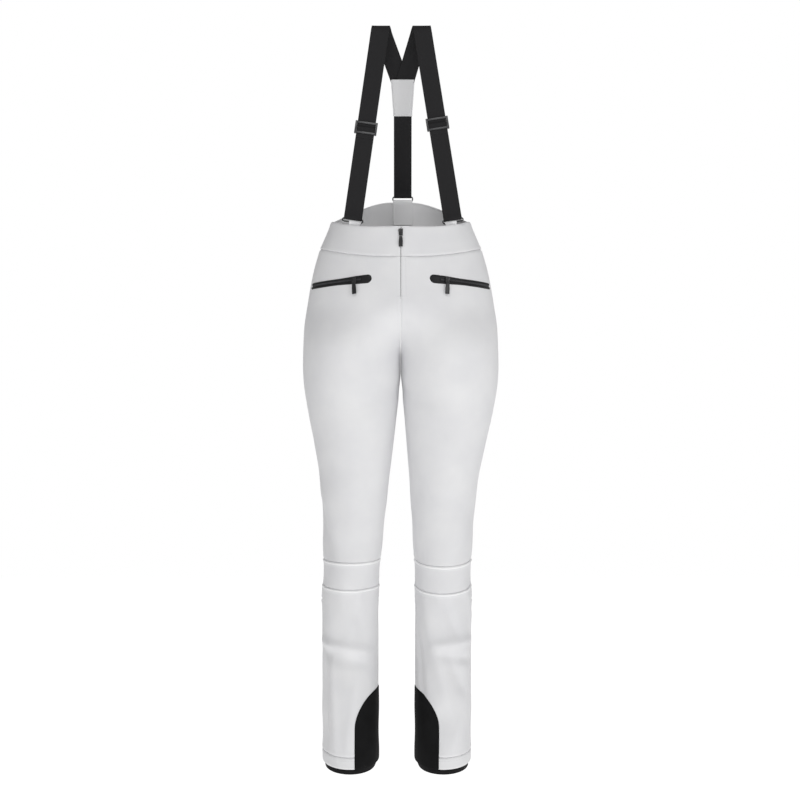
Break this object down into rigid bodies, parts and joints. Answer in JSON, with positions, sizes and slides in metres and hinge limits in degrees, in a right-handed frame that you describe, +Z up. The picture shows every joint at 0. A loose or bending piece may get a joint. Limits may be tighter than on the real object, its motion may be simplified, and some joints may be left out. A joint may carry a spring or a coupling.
{
  "type": "ski pants",
  "caption": "Slim flared ski pants with detachable Y-back suspenders, concealed fly zip, zipped hip pockets, knee seams, edge guards and inner gaiters.",
  "frame": {"origin": "middle of the waist opening, level with the waistband's hook", "axes": "+Z up the body, the front faces -Y, +X is the wearer's left"},
  "size_m": [0.378, 0.2438, 1.4389],
  "materials": {
    "shell_fabric": "matt off-white bonded stretch soft-shell, fine smooth face",
    "webbing": "near-black woven elastic, ribbed across",
    "guard_fabric": "black coated reinforcement cloth",
    "gaiter_fabric": "black plain-weave lining",
    "zip_coil": "dark coil zip teeth",
    "black_metal": "semi-gloss black enamel",
    "black_plastic": "moulded satin black",
    "lining": "light woven pocketing",
    "hook_steel": "pressed steel"
  },
  "bodies": {
    "root": {"waistband_front_left": "shell_fabric", "front_panel_left": "shell_fabric", "back_panel_left": "shell_fabric", "knee_panel_left": "shell_fabric", "knee_back_left": "shell_fabric", "front_tab_left": "shell_fabric", "pocket_welt_left": "guard_fabric", "pocket_chain_left": "zip_coil", "pocket_bag_left": "lining", "waistband_front_right": "shell_fabric", "front_panel_right": "shell_fabric", "back_panel_right": "shell_fabric", "knee_panel_right": "shell_fabric", "knee_back_right": "shell_fabric", "front_tab_right": "shell_fabric", "pocket_welt_right": "guard_fabric", "pocket_chain_right": "zip_coil", "pocket_bag_right": "lining", "waistband_back": "shell_fabric", "fly_placket": "shell_fabric", "rear_tab": "shell_fabric", "fly_chain": "zip_coil", "fly_stop": "zip_coil", "rear_ring": "black_metal", "waist_hook": "hook_steel", "waist_hook_bar": "hook_steel"},
    "suspenders": {"strap_left": "webbing", "strap_right": "webbing", "yoke_connector": "shell_fabric", "rear_strap": "webbing", "front_ring_left": "black_metal", "front_ring_right": "black_metal"},
    "fly_slider": {"fly_slider": "black_metal"},
    "fly_pull": {"fly_pull": "black_plastic"},
    "left_shin": {"shin_panel_left": "shell_fabric", "calf_panel_left": "shell_fabric", "hem_band_left": "shell_fabric", "gaiter_left": "gaiter_fabric", "edge_guard_left": "guard_fabric"},
    "left_pocket_slider": {"pocket_slider_left": "black_metal"},
    "left_pocket_pull": {"pocket_pull_left": "black_plastic"},
    "left_adjuster": {"adjuster_left": "black_plastic"},
    "right_shin": {"shin_panel_right": "shell_fabric", "calf_panel_right": "shell_fabric", "hem_band_right": "shell_fabric", "gaiter_right": "gaiter_fabric", "edge_guard_right": "guard_fabric"},
    "right_pocket_slider": {"pocket_slider_right": "black_metal"},
    "right_pocket_pull": {"pocket_pull_right": "black_plastic"},
    "right_adjuster": {"adjuster_right": "black_plastic"}
  },
  "joints": [
    {"name": "fly_slider_travel", "type": "slide", "parent": "root", "child": "fly_slider", "axis": [0, -0.1284, -0.9917], "range_m": [0, 0.113]},
    {"name": "fly_pull_lift", "type": "hinge", "parent": "fly_slider", "child": "fly_pull", "pos_m": [0, -0.0972, -0.0294], "axis": [-1, 0, 0], "range_deg": [0, 110]},
    {"name": "suspenders_fold_back", "type": "hinge", "parent": "root", "child": "suspenders", "pos_m": [0.004, 0.083, 0.065], "axis": [-1, 0, 0], "range_deg": [0, 160]},
    {"name": "left_pocket_slider_travel", "type": "hinge", "parent": "root", "child": "left_pocket_slider", "pos_m": [0.04959, 0.04336, -0.10903], "axis": [0.0864, 0.0071, 0.9962], "range_deg": [0, 40]},
    {"name": "left_pocket_pull_lift", "type": "hinge", "parent": "left_pocket_slider", "child": "left_pocket_pull", "pos_m": [0.0886, -0.09693, -0.11784], "axis": [-0.9586, -0.2719, 0.085], "range_deg": [0, 100]},
    {"name": "left_adjuster_travel", "type": "slide", "parent": "suspenders", "child": "left_adjuster", "axis": [-0.1517, 0.1258, 0.9804], "range_m": [-0.11, 0.11]},
    {"name": "left_knee", "type": "hinge", "parent": "root", "child": "left_shin", "pos_m": [0.0885, 0, -0.684], "axis": [1, 0, 0], "range_deg": [0, 60], "deforming": ["knee_back_left"]},
    {"name": "right_pocket_slider_travel", "type": "hinge", "parent": "root", "child": "right_pocket_slider", "pos_m": [-0.04959, 0.04336, -0.10903], "axis": [0.0864, -0.0071, -0.9962], "range_deg": [0, 40]},
    {"name": "right_pocket_pull_lift", "type": "hinge", "parent": "right_pocket_slider", "child": "right_pocket_pull", "pos_m": [-0.0886, -0.09693, -0.11784], "axis": [-0.9586, 0.2719, -0.085], "range_deg": [0, 100]},
    {"name": "right_adjuster_travel", "type": "slide", "parent": "suspenders", "child": "right_adjuster", "axis": [0.1355, 0.1406, 0.9807], "range_m": [-0.11, 0.11]},
    {"name": "right_knee", "type": "hinge", "parent": "root", "child": "right_shin", "pos_m": [-0.0885, 0, -0.684], "axis": [1, 0, 0], "range_deg": [0, 60], "deforming": ["knee_back_right"]}
  ]
}
